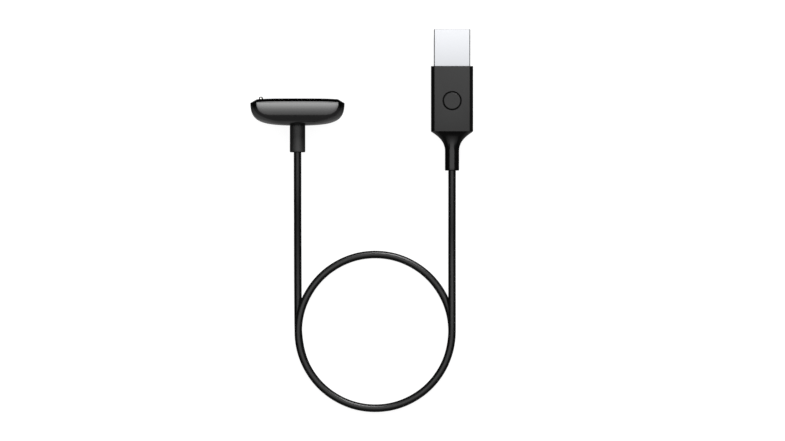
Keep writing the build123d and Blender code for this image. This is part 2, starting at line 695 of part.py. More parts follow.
with BuildPart() as reset_button:
    with BuildSketch(level(FLANGE_TOP)):
        Circle(BUTTON_RADIUS)
    extrude(amount=HOUSING_THICKNESS - FLANGE_TOP)
    fillet(reset_button.edges().group_by(Axis.Z)[-1], radius=BUTTON_EDGE)
    with BuildSketch(level(FLANGE_BOTTOM)):
        Circle(BUTTON_FLANGE[0])
    extrude(amount=BUTTON_FLANGE[1])
    with BuildSketch(level(STEM_TOP)):
        Circle(BUTTON_STUB)
    extrude(amount=FLANGE_BOTTOM - STEM_TOP)
keep("reset_button", reset_button)

LEAD_Z = BOARD_TOP + LEAD_RADIUS
for name, side in {"plug_lead_red": 1, "plug_lead_black": -1}.items():
    bends = [(PLUG_X + side * x, HOUSING_END + REAR_WALL + y, LEAD_Z) for x, y in PLUG_LEADS]
    with BuildPart() as lead:
        with BuildLine() as route:
            FilletPolyline((bends[0][0], CORD_END_Y, LEAD_Z), *bends, radius=PLUG_LEAD_BEND)
        with BuildSketch(Plane(route.line @ 0, z_dir=route.line % 0)):
            Circle(LEAD_RADIUS)
        sweep(path=route.line)
    keep(name, lead)

# ---------------------------------------------------------------- files and a few facts
os.makedirs("parts", exist_ok=True)
for name, part in pieces.items():
    export_step(part, f"parts/{name}.step")

cord_length = cord_route.wires()[0].length
print(f"a pin travels {PIN_TRAVEL} mm and the button {BUTTON_TRAVEL} mm")
print(f"{len(pieces)} nodes, contact face at y {FACE_Y:.3f}, collar mouth at y {MOUTH_Y:.3f}")
print(f"cord: {cord_length:.1f} mm, tube / section x length",
      f"{cord.part.volume / (cord_length * math.pi * CORD_RADIUS ** 2):.4f}")
print("cord arc radii:", " ".join(f"{radius:.1f}" for radius in cord_radii))
print("cord runs:", " ".join(f"{(b - a).length:.1f}" for a, b in zip(cord_points, cord_points[1:])))
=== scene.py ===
"""Looks for a wrist tracker's charging cable: a magnetic dock with two spring pins, a round cord
that lies in one loop and a half, and a USB-A plug with a round push button.

Lengths are in metres in the CAD frame: X runs along the dock, +Y is the way its contact face
looks, and Z is up from the table. A value written with MM is in millimetres.
"""
import math

import bmesh
import bpy
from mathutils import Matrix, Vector


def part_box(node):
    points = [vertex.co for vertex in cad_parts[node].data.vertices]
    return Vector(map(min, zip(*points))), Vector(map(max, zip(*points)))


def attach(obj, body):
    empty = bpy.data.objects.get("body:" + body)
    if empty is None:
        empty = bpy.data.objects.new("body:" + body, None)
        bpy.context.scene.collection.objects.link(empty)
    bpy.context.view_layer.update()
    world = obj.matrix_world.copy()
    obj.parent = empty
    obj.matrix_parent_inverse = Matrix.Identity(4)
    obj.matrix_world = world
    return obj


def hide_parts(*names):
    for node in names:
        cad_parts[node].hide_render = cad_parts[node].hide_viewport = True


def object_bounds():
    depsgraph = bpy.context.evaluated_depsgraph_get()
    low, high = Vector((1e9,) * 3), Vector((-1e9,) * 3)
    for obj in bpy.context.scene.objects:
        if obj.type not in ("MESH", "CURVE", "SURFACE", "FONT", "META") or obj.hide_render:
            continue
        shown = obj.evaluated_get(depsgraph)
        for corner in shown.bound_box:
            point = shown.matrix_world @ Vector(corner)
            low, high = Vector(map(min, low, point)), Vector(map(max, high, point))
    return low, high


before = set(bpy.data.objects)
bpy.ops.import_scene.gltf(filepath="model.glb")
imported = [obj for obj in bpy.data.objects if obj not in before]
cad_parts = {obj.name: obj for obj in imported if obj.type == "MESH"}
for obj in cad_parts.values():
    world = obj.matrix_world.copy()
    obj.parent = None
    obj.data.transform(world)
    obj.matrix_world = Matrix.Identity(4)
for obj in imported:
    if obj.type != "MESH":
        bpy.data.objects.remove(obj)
cad_low, cad_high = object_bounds()

MM = 0.001

# ---------------------------------------------------------------- places read from the CAD frame
shell_low, shell_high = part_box("dock_shell")
plate_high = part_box("dock_face")[1]
housing_low, housing_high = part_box("plug_front_shell")
boot_low, boot_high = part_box("plug_boot")
usb_low, usb_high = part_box("usb_shell")
button_low, button_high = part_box("reset_button")

HALF_LENGTH = shell_high.x
HALF_WIDTH = (shell_high.z - shell_low.z) / 2
AXIS_Z = (shell_high.z + shell_low.z) / 2
FACE_Y = plate_high.y
DOCK_HEIGHT = FACE_Y - shell_low.y

PLUG_X = (housing_low.x + housing_high.x) / 2
PLUG_Z = housing_low.z
HALF_HOUSING = (housing_high.x - housing_low.x) / 2
HALF_THICKNESS = housing_high.z - PLUG_Z
PLUG_FRONT = housing_high.y
HOUSING_END = housing_low.y
BUTTON_Y = (button_low.y + button_high.y) / 2
HALF_USB = (usb_high.x - usb_low.x) / 2
HALF_USB_HEIGHT = (usb_high.z - usb_low.z) / 2
NECK_END = boot_low.y
ANCHOR_TOP = boot_high.y

# ---------------------------------------------------------------- sizes, most of them as in the CAD model
DOCK_CORNER = 3.0 * MM
DOCK_WALL = 1.0 * MM
DOCK_END_ROUNDING = 3.5 * MM    # the hull's corners grow by this from its rim to its bottom
CROWN = 0.5 * MM                # the contact face is this much lower at its ends
CROWN_POWER = 4
CROWN_FADE = 0.1                # share of the hull's side over which the crown levels out
BEVEL_DROP = 1.0 * MM
BEVEL_RUN = 2.1 * MM
FACE_EDGE = 1.25 * MM           # depth of the seam between the face plate and the hull
RIM_FOOT = 1.6 * MM             # depth that the rim's walls run toward
RIM_ROUNDING = 0.1 * MM
PLATE_ROUNDING = 0.07 * MM
PLATE_CORNER = 0.35 * MM        # smallest corner of the plate's outline
FLAT_INSET = BEVEL_RUN + 1.1 * MM
BOSS_DEPTH = 2.0 * MM
BOSS_INSET = 1.25 * MM
WALL_END = 0.166                # share of the depth where the long walls start to curve in
END_CURVE = ((1.0, 0.3), (0.933, 1.0), (0.26, 1.0))     # shares of half the width and the depth
SIDE_CURVE = ((0.99, 0.867), (0.779, 1.0), (0.0, 1.0))  # shares of half the length and the depth
PIN_HOLE = 0.7 * MM
COLLAR_HOLE = 1.9 * MM
CORD_RADIUS = 1.25 * MM
LEAD_BORE = 0.95 * MM           # radius of the boot's bore for the leads
MOUTH_DEPTH = 1.0 * MM
MOUTH_ROUNDING = 0.28 * MM
NECK_RADIUS = 2.34 * MM
NECK_LENGTH = 6.75 * MM
FLARE_CORNER = 2.6 * MM
FLARE_DOWN = (0, 0.264, 0.527, 1.07)    # shares of the flare's length
FLARE_PULL = (0.65, 0.64)               # shares of half the width and half the thickness
SIDE_BEVEL = (1.1 * MM, 1.9 * MM)       # in from each side and down from each broad face
BEVEL_ROUNDING = 0.16 * MM
HOUSING_EDGE = 0.15 * MM
END_LIP = 1.5 * MM              # inset that the end faces run toward
FRONT_WALL = 1.5 * MM
REAR_WALL = 1.0 * MM
CAVITY = (6.0 * MM, 2.95 * MM)
CAVITY_BEVEL, CAVITY_ROUNDING = 0.6 * MM, 0.2 * MM
PASSAGE_BEVEL, PASSAGE_ROUNDING = 0.8 * MM, 0.3 * MM
PARTING_GAP = 0.05 * MM         # half the line between the two shells
BUTTON_HOLE = 3.2 * MM
BUTTON_SKIRT = 0.7 * MM         # the button's rim begins this far below its top
USB_SHEET = 0.3 * MM
USB_CORNER = 0.4 * MM
OPENING_ROUNDING = 0.1 * MM
SHEET_ROUNDING = 0.12 * MM
FOLD_GAP = 0.03 * MM            # half the seam of the folded sheet
REAR_FACE_DEPTH = 2.1 * MM      # below the middle, where the seam's cut stops
LATCH_WINDOW = (1.2 * MM, 1.1 * MM)     # half sizes
LATCH_X = 3.1 * MM
LATCH_BACK = 5.2 * MM
ANCHOR_RADIUS = 1.98 * MM
ANCHOR_FLANGE = 2.8 * MM
CORD_START_Y = FACE_Y - DOCK_HEIGHT + 2.0 * MM      # inner face of the collar's flange
CORD_END_Y = -6.0 * MM


# ---------------------------------------------------------------- mesh helpers
def bezier(share, a, b, c, d):
    """Value of a cubic Bezier at share, from 0 to 1."""
    rest = 1 - share
    return a * rest ** 3 + 3 * b * share * rest ** 2 + 3 * c * share ** 2 * rest + d * share ** 3


SIDE_STEPS, CORNER_STEPS, TOP_STEPS = 4, 9, 8
QUARTER = SIDE_STEPS + CORNER_STEPS + TOP_STEPS
LONGEST_CUT = 0.45                      # share of an edge that one rounding may use
ROUNDING_STEPS = (0.0, 0.33, 0.67, 1.0)
MERGE_DISTANCE = 1e-7


def rounded_ring(half_u, half_v, corner):
    """Rounded rectangle as points (u, v), anticlockwise from the middle of its right side."""
    quarter = []
    straight_u, straight_v = half_u - corner, half_v - corner
    for step in range(SIDE_STEPS):
        quarter.append((half_u, straight_v * step / SIDE_STEPS))
    for step in range(CORNER_STEPS):
        angle = math.pi / 2 * step / CORNER_STEPS
        quarter.append((straight_u + corner * math.cos(angle), straight_v + corner * math.sin(angle)))
    for step in range(TOP_STEPS):
        quarter.append((straight_u * (1 - step / TOP_STEPS), half_v))
    mirrored = [(-u, v) for u, v in quarter[:0:-1]]
    upper = quarter + [(0.0, half_v)] + mirrored
    return upper + [(-half_u, 0.0)] + [(u, -v) for u, v in reversed(upper[1:])]


def round_ring(radius):
    """Circle with as many points as rounded_ring gives."""
    count = 4 * QUARTER
    return [
        (radius * math.cos(2 * math.pi * i / count), radius * math.sin(2 * math.pi * i / count))
        for i in range(count)
    ]


def blended_ring(half_u, half_v, corner, share):
    """Between a rounded rectangle, at share 0, and the ellipse of the same size, at share 1."""
    oval = [(half_u * u, half_v * v) for u, v in round_ring(1.0)]
    return [
        (a * (1 - share) + c * share, b * (1 - share) + d * share)
        for (a, b), (c, d) in zip(rounded_ring(half_u, half_v, corner), oval)
    ]


def bevelled_ring(half_u, half_v, run, drop, rounding):
    """Rectangle with four bevelled corners, as points (u, v), anticlockwise from its right side."""
    corner = [(half_u, 0), (half_u, half_v - drop), (half_u - run, half_v), (0, half_v)]
    quarter = softened(corner, rounding)
    upper = quarter + [(-u, v) for u, v in quarter[-2::-1]]
    return upper + [(u, -v) for u, v in upper[-2:0:-1]]


def section(ring, y, x=0.0, z=AXIS_Z):
    """A ring stood up across the Y axis. y is a number, or a function of u."""
    height = y if callable(y) else (lambda u: y)
    return [(x + u, height(u), z + v) for u, v in ring]


def softened(profile, radius):
    """The same profile with each inner corner cut back by radius and rounded."""
    out = [profile[0]]
    for before, here, after in zip(profile, profile[1:], profile[2:]):
        here = Vector(here)
        back, ahead = Vector(before) - here, Vector(after) - here
        near = here + back.normalized() * min(radius, back.length * LONGEST_CUT)
        far = here + ahead.normalized() * min(radius, ahead.length * LONGEST_CUT)
        for share in ROUNDING_STEPS:
            rest = 1 - share
            out.append(tuple(near * rest ** 2 + here * 2 * share * rest + far * share ** 2))
    return out + [profile[-1]]


def shaded(mesh, sharp_from):
    """Smooth shading, broken at edges that turn by more than sharp_from degrees."""
    mesh.shade_smooth()
    mesh.set_sharp_from_angle(angle=math.radians(sharp_from))


def loft(name, sections, closed=False):
    """Skin through sections of equal point counts: a closed ring of them, or capped at both ends."""
    count = len(sections[0])
    verts = [point for one in sections for point in one]
    faces = []
    pairs = list(zip(range(len(sections)), range(1, len(sections))))
    if closed:
        pairs.append((len(sections) - 1, 0))
    for a, b in pairs:
        for i in range(count):
            j = (i + 1) % count
            faces.append((a * count + i, a * count + j, b * count + j, b * count + i))
    if not closed:
        faces.append(tuple(range(count)))
        faces.append(tuple(range(len(verts) - count, len(verts))))
    mesh = bpy.data.meshes.new(name)
    mesh.from_pydata(verts, [], faces)
    work = bmesh.new()
    work.from_mesh(mesh)
    bmesh.ops.remove_doubles(work, verts=work.verts, dist=MERGE_DISTANCE)
    bmesh.ops.recalc_face_normals(work, faces=work.faces)
    work.to_mesh(mesh)
    work.free()
    piece = bpy.data.objects.new(name, mesh)
    bpy.context.scene.collection.objects.link(piece)
    return piece


def cut(piece, *cutters):
    """Takes the cutters away from the piece and removes them."""
    for cutter in cutters:
        change = piece.modifiers.new("cut", "BOOLEAN")
        change.object = cutter
        change.solver = "EXACT"
    bpy.context.view_layer.update()
    result = piece.evaluated_get(bpy.context.evaluated_depsgraph_get())
    mesh = bpy.data.meshes.new_from_object(result)
    piece.modifiers.clear()
    piece.data = mesh
    for cutter in cutters:
        bpy.data.objects.remove(cutter)


def settle(piece, body, slot, *nodes):
    """Gives a piece its finish and its body, and lets it stand for CAD nodes."""
    piece.data.materials.clear()
    piece.data.materials.append(finishes[slot])
    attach(piece, body)
    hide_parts(*nodes)
    return piece


# ---------------------------------------------------------------- finishes
JET_BLACK = 0.002
GLOSS_IOR = 2.3
BROAD_SCALE = 0.05              # scale of the slow drift in colour beside that of the grain
MATTE_EDGE = 0.1 * MM           # height over which a finish turns matte
MOULD_GRAIN = 0.0006 * MM
COARSE_GRAIN = 0.001 * MM
# sockets of the mix node, by number, because several of them share a name
MIX_SHARE, NUMBER_A, NUMBER_B, COLOUR_A, COLOUR_B = 0, 2, 3, 6, 7
NUMBER_OUT, COLOUR_OUT = 0, 2


def node(tree, kind, inputs=None, **settings):
    """Adds a shader node. inputs are its sockets' values and settings its own properties."""
    made = tree.nodes.new(kind)
    for key, value in settings.items():
        setattr(made, key, value)
    for key, value in (inputs or {}).items():
        made.inputs[key].default_value = value
    return made


def moulded(
    name, dark, light, roughness, grain, bump=0.0, stretch=(1, 1, 1),
    matte_below=None, lighter_along=None, **shader_values
):
    """A finish whose colour drifts between two shades, with grain in its roughness and its surface.
    grain is the size of the texture and bump its depth, both in metres. What is lower than
    matte_below is fully rough. lighter_along gives the Y of the dark end and of the light end
    of a painted shade along Y, which then takes the place of the drift in colour."""
    material = bpy.data.materials.new(name)
    material.use_nodes = True
    tree = material.node_tree
    tree.nodes.clear()
    link = tree.links.new
    output = node(tree, "ShaderNodeOutputMaterial")
    shader = node(tree, "ShaderNodeBsdfPrincipled", shader_values)
    link(shader.outputs["BSDF"], output.inputs["Surface"])
    place = node(tree, "ShaderNodeTexCoord")
    mapping = node(tree, "ShaderNodeMapping", {"Scale": stretch})
    link(place.outputs["Object"], mapping.inputs["Vector"])
    fine = node(tree, "ShaderNodeTexNoise", {"Scale": 1 / grain, "Detail": 3.0, "Roughness": 0.6})
    broad = node(tree, "ShaderNodeTexNoise", {"Scale": BROAD_SCALE / grain, "Detail": 2.0})
    link(mapping.outputs["Vector"], fine.inputs["Vector"])
    link(mapping.outputs["Vector"], broad.inputs["Vector"])
    blend = node(tree, "ShaderNodeMath", operation="ADD")
    link(fine.outputs["Fac"], blend.inputs[0])
    link(broad.outputs["Fac"], blend.inputs[1])
    ramp = node(tree, "ShaderNodeMapRange", {"From Min": 0.7, "From Max": 1.3})
    link(blend.outputs["Value"], ramp.inputs["Value"])

    def rising_along(axis, start, end):
        """From 0 where the axis value is start to 1 where it is end."""
        split = node(tree, "ShaderNodeSeparateXYZ")
        made = node(tree, "ShaderNodeMapRange", {"From Min": start, "From Max": end})
        link(place.outputs["Object"], split.inputs["Vector"])
        link(split.outputs[axis], made.inputs["Value"])
        return made.outputs["Result"]

    share = ramp.outputs["Result"]
    # painted shade: along Y the colour runs from the dark shade to the light one, in place of the drift
    if lighter_along is not None:
        share = rising_along("Y", *lighter_along)
    colour = node(tree, "ShaderNodeMix", data_type="RGBA")
    colour.inputs[COLOUR_A].default_value = (*dark, 1)
    colour.inputs[COLOUR_B].default_value = (*light, 1)
    link(share, colour.inputs[MIX_SHARE])
    link(colour.outputs[COLOUR_OUT], shader.inputs["Base Color"])
    wear = node(
        tree,
        "ShaderNodeMapRange",
        {"From Min": 0.3, "From Max": 0.7, "To Min": roughness[0], "To Max": roughness[1]},
    )
    link(fine.outputs["Fac"], wear.inputs["Value"])
    rough = wear.outputs["Result"]
    if matte_below is not None:
        matte = node(tree, "ShaderNodeMath", operation="MAXIMUM")
        link(rough, matte.inputs[0])
        link(rising_along("Z", matte_below, matte_below - MATTE_EDGE), matte.inputs[1])
        rough = matte.outputs["Value"]
    link(rough, shader.inputs["Roughness"])
    if bump:
        relief = node(tree, "ShaderNodeBump", {"Strength": 1.0, "Distance": bump})
        link(fine.outputs["Fac"], relief.inputs["Height"])
        link(relief.outputs["Normal"], shader.inputs["Normal"])
    return material


def grey(value, warm=0.0):
    """A grey with its red raised and its blue lowered by the share warm."""
    return (value * (1 + warm), value, value * (1 - warm))


def plastic(slot, value, roughness, grain, bump=0.0, **shader_values):
    """Black or grey plastic or rubber whose shade varies by a tenth about value."""
    return moulded(slot, grey(value * 0.9), grey(value * 1.1), roughness, grain, bump, **shader_values)


def rubber(slot, gloss, roughness, grain, **more):
    """Deep black elastomer or satin plastic with a fine moulded grain."""
    gloss_level = {"Specular IOR Level": gloss}
    return plastic(slot, JET_BLACK, roughness, grain, MOULD_GRAIN, **gloss_level, **more)


def metal(slot, dark, light, roughness, grain, stretch=(1, 1, 1), **more):
    """Bare metal. stretch is the scale of its grain along each axis."""
    return moulded(slot, dark, light, roughness, grain, 0.0, stretch, Metallic=1.0, **more)


finishes = {
    "hull_black": plastic("hull_black", JET_BLACK, (0.12, 0.16), 0.12 * MM, IOR=GLOSS_IOR),
    "face_black": plastic("face_black", JET_BLACK, (0.05, 0.08), 0.2 * MM, IOR=GLOSS_IOR),
    "boot_black": rubber("boot_black", 0.55, (0.6, 0.68), 0.08 * MM),
    "boot_gloss": rubber("boot_gloss", 0.28, (0.2, 0.26), 0.08 * MM),
    "cord_black": rubber("cord_black", 0.3, (0.34, 0.42), 0.1 * MM),
    "plug_satin": rubber("plug_satin", 0.33, (0.4, 0.48), 0.07 * MM),
    "inner_plastic": plastic("inner_plastic", 0.05, (0.5, 0.6), 0.1 * MM, COARSE_GRAIN),
    "pin_metal": metal(
        "pin_metal", (0.7, 0.69, 0.66), (0.8, 0.79, 0.77), (0.16, 0.26), 0.05 * MM, (1, 8, 1)
    ),
    "spring_steel": metal("spring_steel", grey(0.5), grey(0.62), (0.25, 0.4), 0.05 * MM),
    "magnet_nickel": metal("magnet_nickel", grey(0.62, 0.02), grey(0.7, 0.03), (0.2, 0.3), 0.1 * MM),
    "yoke_steel": metal("yoke_steel", grey(0.38), grey(0.46), (0.35, 0.5), 0.1 * MM, (1, 10, 10)),
    "board_green": moulded(
        "board_green", (0.012, 0.12, 0.04), (0.02, 0.2, 0.07), (0.3, 0.4), 0.4 * MM
    ),
    "lead_red": moulded("lead_red", (0.45, 0.02, 0.02), (0.55, 0.03, 0.03), (0.4, 0.5), 0.1 * MM),
    "lead_black": plastic("lead_black", 0.015, (0.4, 0.5), 0.1 * MM),
    # painted shade: the connector shell is darker toward the housing and lighter toward its tip
    "usb_metal": metal(
        "usb_metal", (0.296, 0.301, 0.313), (0.373, 0.378, 0.393), (0.28, 0.34), 0.06 * MM, (1, 0.2, 1),
        lighter_along=(PLUG_FRONT, usb_high.y),
    ),
    "tongue_white": plastic("tongue_white", 0.75, (0.4, 0.5), 0.1 * MM, COARSE_GRAIN),
    "contact_gold": metal("contact_gold", (0.85, 0.6, 0.25), (0.95, 0.7, 0.32), (0.18, 0.28), 0.06 * MM),
    "chip_black": plastic("chip_black", 0.02, (0.5, 0.65), 0.06 * MM, COARSE_GRAIN),
    "crimp_brass": metal("crimp_brass", (0.7, 0.5, 0.22), (0.8, 0.58, 0.27), (0.25, 0.35), 0.08 * MM),
}

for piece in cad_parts.values():
    piece.data.materials[0] = finishes[piece.data.materials[0].name.split(".")[0]]
# the button's rim, at the foot of its groove, is rough, as it came from the mould
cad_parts["reset_button"].data.materials[0] = rubber(
    "button_satin", 0.33, (0.4, 0.48), 0.07 * MM, matte_below=button_high.z - BUTTON_SKIRT
)


# ---------------------------------------------------------------- dock
ROUNDEST = 0.94                 # largest corner, as a share of the smaller half side
HALVINGS = 40
SIDE_SHARES = [0.92 - 0.04 * step for step in range(20)]
RIM_SHARES = [0.13, 0.1, 0.08, 0.06, 0.045, 0.03, 0.02, 0.012]      # close, where the crown fades
PLATE_SHARES = (0.85, 0.7, 0.55, 0.4, 0.25, 0.1, 0.02)
PIN_HOLE_ENDS = (-3 * MM, 1 * MM)       # from the contact face


def crowned(depth, fade=1.0):
    """Y as a function of u, this deep below the contact face. At fade 0 it is flat, as low as the ends."""
    return lambda u: FACE_Y - depth - CROWN * (1 - fade * (1 - (u / HALF_LENGTH) ** CROWN_POWER))


def end_width(depth, half_width, bottom):
    """Half the hull's width at a depth: straight at first, then a curve in to the flat bottom."""
    widths, depths = zip(*((x * half_width, y * bottom) for x, y in ((1.0, WALL_END), *END_CURVE)))
    if depth <= depths[0]:
        return half_width
    low, high = 0.0, 1.0
    for _ in range(HALVINGS):
        middle = (low + high) / 2
        if bezier(middle, *depths) < depth:
            low = middle
        else:
            high = middle
    return bezier(low, *widths)


def hull_section(share, inset=0.0):
    """Section of the hull, from its rim at share 0 to its bottom at share 1."""
    length, width, bottom = HALF_LENGTH - inset, HALF_WIDTH - inset, DOCK_HEIGHT - inset
    rim = FACE_EDGE + CROWN
    half_u = bezier(share, length, *(x * length for x, _ in SIDE_CURVE))
    depth = bezier(share, rim, *(y * bottom for _, y in SIDE_CURVE))
    half_v = end_width(depth, width, bottom)
    down = (depth - rim) / (bottom - rim)
    corner = min(DOCK_CORNER - inset + DOCK_END_ROUNDING * down ** 2, ROUNDEST * min(half_u, half_v))
    fade = max(0.0, 1 - share / CROWN_FADE) ** 2
    return section(rounded_ring(half_u, half_v, corner), crowned(depth - CROWN, fade))


def make_hull():
    """Boat-shaped shell with a hole in its bottom for the collar."""
    outside = [hull_section(share) for share in SIDE_SHARES + RIM_SHARES]
    flat_rim = [(0, RIM_FOOT), (0, FACE_EDGE), (DOCK_WALL, FACE_EDGE), (DOCK_WALL, RIM_FOOT)]
    rim = []
    for inset, depth in softened(flat_rim, RIM_ROUNDING):
        ring = rounded_ring(HALF_LENGTH - inset, HALF_WIDTH - inset, DOCK_CORNER - inset)
        rim.append(section(ring, crowned(depth)))
    inside = [hull_section(share, DOCK_WALL) for share in reversed(SIDE_SHARES + RIM_SHARES)]
    outer_hole = section(round_ring(COLLAR_HOLE), FACE_Y - DOCK_HEIGHT)
    inner_hole = section(round_ring(COLLAR_HOLE), FACE_Y - DOCK_HEIGHT + DOCK_WALL)
    piece = loft("dock_hull", [outer_hole] + outside + rim[1:-1] + inside + [inner_hole], closed=True)
    shaded(piece.data, sharp_from=40)
    return settle(piece, "cable", "hull_black", "dock_shell")


def make_face_plate():
    """Crowned, bevelled contact plate with two holes for the pins."""
    profile = [
        (BOSS_INSET, BOSS_DEPTH), (BOSS_INSET, FACE_EDGE), (0, FACE_EDGE), (0, BEVEL_DROP),
        (BEVEL_RUN, 0), (FLAT_INSET, 0),
    ]
    sections = []
    for inset, depth in softened(profile, PLATE_ROUNDING):
        corner = max(DOCK_CORNER - inset, PLATE_CORNER)
        ring = rounded_ring(HALF_LENGTH - inset, HALF_WIDTH - inset, corner)
        sections.append(section(ring, crowned(depth)))
    middle = rounded_ring(HALF_LENGTH - FLAT_INSET, HALF_WIDTH - FLAT_INSET, PLATE_CORNER)
    for share in PLATE_SHARES:
        sections.append(section([(u * share, v * share) for u, v in middle], crowned(0.0)))
    piece = loft("dock_face_plate", sections)
    cutters = []
    for pin in ("pin_plunger_near", "pin_plunger_far"):
        low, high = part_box(pin)
        x, z = (low.x + high.x) / 2, (low.z + high.z) / 2
        ring = round_ring(PIN_HOLE)
        ends = [section(ring, FACE_Y + y, x, z) for y in PIN_HOLE_ENDS]
        cutters.append(loft("cutter", ends))
    cut(piece, *cutters)
    shaded(piece.data, sharp_from=30)
    return settle(piece, "cable", "face_black", "dock_face")


# ---------------------------------------------------------------- cord
# The route repeats the CAD model's control points, in millimetres.
LOOP_X, LOOP_Y, LOOP_RADIUS, LOOP_CORNERS = 25.6, -68.3, 25.4, 12
CORD_GAP = 0.15
ON_TABLE = CORD_RADIUS / MM
ON_CORD = ON_TABLE + 2 * CORD_RADIUS / MM + CORD_GAP
CLIMB = 1.3                     # first step up, where the second turn begins
EASE = 0.1                      # the steps by which it then settles on the first


def loop_corner(index, z):
    """Corner of the route round the loop. Index 0 is the first below the loop's left side."""
    step = 2 * math.pi / LOOP_CORNERS
    angle = math.pi + step * (index + 0.5)
    reach = LOOP_RADIUS / math.cos(step / 2)
    return (LOOP_X + reach * math.cos(angle), LOOP_Y + reach * math.sin(angle), z)


def make_cord():
    """The cord from the dock to the plug, with one and a half turns: the second lies on the first."""
    lower_turn = [ON_TABLE] * 10 + [ON_TABLE + CLIMB]
    upper_turn = [ON_CORD + 2 * EASE, ON_CORD + EASE] + [ON_CORD] * 5
    leave_dock = [
        (0, CORD_START_Y / MM, 8.5), (0, -19.0, 8.5), (0, -39.0, 3.0), (0.05, -56.5, ON_TABLE),
    ]
    loop = [loop_corner(i, z) for i, z in enumerate(lower_turn + upper_turn)]
    reach_plug = [
        (51.0, -59.5, ON_CORD + CORD_GAP), (51.0, -43.0, 0.65), (51.0, -24.5, 3.9), (51.0, -6.0, 3.9),
    ]
    route = leave_dock + loop + reach_plug
    curve = bpy.data.curves.new("charging_cord", "CURVE")
    curve.dimensions = "3D"
    line = curve.splines.new("NURBS")
    line.points.add(len(route) - 1)
    for point, place in zip(line.points, route):
        point.co = (*(value * MM for value in place), 1)
    line.order_u = 3
    line.use_endpoint_u = True
    line.resolution_u = 16
    curve.bevel_depth = CORD_RADIUS
    curve.bevel_resolution = 8
    curve.use_fill_caps = True
    piece = bpy.data.objects.new("charging_cord", curve)
    bpy.context.scene.collection.objects.link(piece)
    return settle(piece, "cable", "cord_black", "cord")


# ---------------------------------------------------------------- plug boot
FLARE_STEPS = 24
FLARE_ROUNDEST = 0.98           # largest corner, as a share of half the thickness


def make_plug_boot():
    """Concave flare from the housing down to a round neck, with the anchor that holds it."""
    flare_length = HOUSING_END - NECK_END - NECK_LENGTH
    sections = []

    def add_round(radius, y):
        sections.append(section(round_ring(radius), y, PLUG_X, PLUG_Z))

    add_round(LEAD_BORE, ANCHOR_TOP)
    for radius, y in (
        (ANCHOR_FLANGE, ANCHOR_TOP),
        (ANCHOR_FLANGE, HOUSING_END + REAR_WALL),
        (ANCHOR_RADIUS, HOUSING_END + REAR_WALL),
        (ANCHOR_RADIUS, HOUSING_END),
    ):
        add_round(radius, y)
    wide_pull, thick_pull = FLARE_PULL
    for step in range(FLARE_STEPS + 1):
        share = step / FLARE_STEPS
        down = min(1.0, bezier(share, *FLARE_DOWN)) * flare_length
        wide = bezier(share, HALF_HOUSING, wide_pull * HALF_HOUSING, NECK_RADIUS, NECK_RADIUS)
        thick = bezier(share, HALF_THICKNESS, thick_pull * HALF_THICKNESS, NECK_RADIUS, NECK_RADIUS)
        ring = blended_ring(wide, thick, min(FLARE_CORNER, FLARE_ROUNDEST * thick), share ** 2)
        sections.append(section(ring, HOUSING_END - down, PLUG_X, PLUG_Z))
    mouth = [
        (NECK_RADIUS, NECK_END + MOUTH_DEPTH), (NECK_RADIUS, NECK_END),
        (CORD_RADIUS, NECK_END), (CORD_RADIUS, NECK_END + MOUTH_DEPTH),
    ]
    for radius, y in softened(mouth, MOUTH_ROUNDING):
        add_round(radius, y)
    add_round(CORD_RADIUS, CORD_END_Y)
    add_round(LEAD_BORE, CORD_END_Y)
    piece = loft("cord_boot", sections, closed=True)
    shaded(piece.data, sharp_from=40)
    settle(piece, "cable", "boot_gloss", "plug_boot")


# ---------------------------------------------------------------- plug housing
def bar(low, high):
    """Plain block between two corners, used only to cut with."""
    (x0, y0, z0), (x1, y1, z1) = low, high
    return loft("cutter", [[(x0, y, z0), (x1, y, z0), (x1, y, z1), (x0, y, z1)] for y in (y0, y1)])


def housing_skin(name):
    """The whole housing, hollow, with the connector's opening in front and the boot's behind."""
    run, drop = SIDE_BEVEL
    sections = []

    def add(ring, y):
        sections.append(section(ring, y, PLUG_X, PLUG_Z))

    def outline(inset):
        return bevelled_ring(HALF_HOUSING - inset, HALF_THICKNESS - inset, run, drop, BEVEL_ROUNDING)

    opening = bevelled_ring(HALF_USB, HALF_USB_HEIGHT, USB_CORNER, USB_CORNER, OPENING_ROUNDING)
    cavity = bevelled_ring(*CAVITY, CAVITY_BEVEL, CAVITY_BEVEL, CAVITY_ROUNDING)
    passage = bevelled_ring(
        ANCHOR_RADIUS, ANCHOR_RADIUS, PASSAGE_BEVEL, PASSAGE_BEVEL, PASSAGE_ROUNDING
    )
    add(opening, PLUG_FRONT)
    profile = [(END_LIP, PLUG_FRONT), (0, PLUG_FRONT), (0, HOUSING_END), (END_LIP, HOUSING_END)]
    for inset, y in softened(profile, HOUSING_EDGE)[1:-1]:
        add(outline(inset), y)
    add(passage, HOUSING_END)
    add(passage, HOUSING_END + REAR_WALL)
    add(cavity, HOUSING_END + REAR_WALL)
    add(cavity, PLUG_FRONT - FRONT_WALL)
    add(opening, PLUG_FRONT - FRONT_WALL)
    return loft(name, sections, closed=True)


def make_housing():
    """Front and rear shells with a fine parting line between them, and the button's hole in front."""
    far = 20 * MM
    front = housing_skin("housing_front")
    below = bar((PLUG_X - far, -far, -far), (PLUG_X + far, 2 * far, PLUG_Z + PARTING_GAP))
    hole = [(PLUG_X + u, BUTTON_Y + v) for u, v in round_ring(BUTTON_HOLE)]
    hole_ends = (PLUG_Z + HALF_THICKNESS / 2, PLUG_Z + far)
    drill = loft("cutter", [[(x, y, z) for x, y in hole] for z in hole_ends])
    cut(front, below, drill)
    rear = housing_skin("housing_rear")
    above = bar((PLUG_X - far, -far, PLUG_Z - PARTING_GAP), (PLUG_X + far, 2 * far, far))
    cut(rear, above)
    for piece, stands_for in ((front, "plug_front_shell"), (rear, "plug_rear_shell")):
        shaded(piece.data, sharp_from=25)
        settle(piece, "cable", "plug_satin", stands_for)


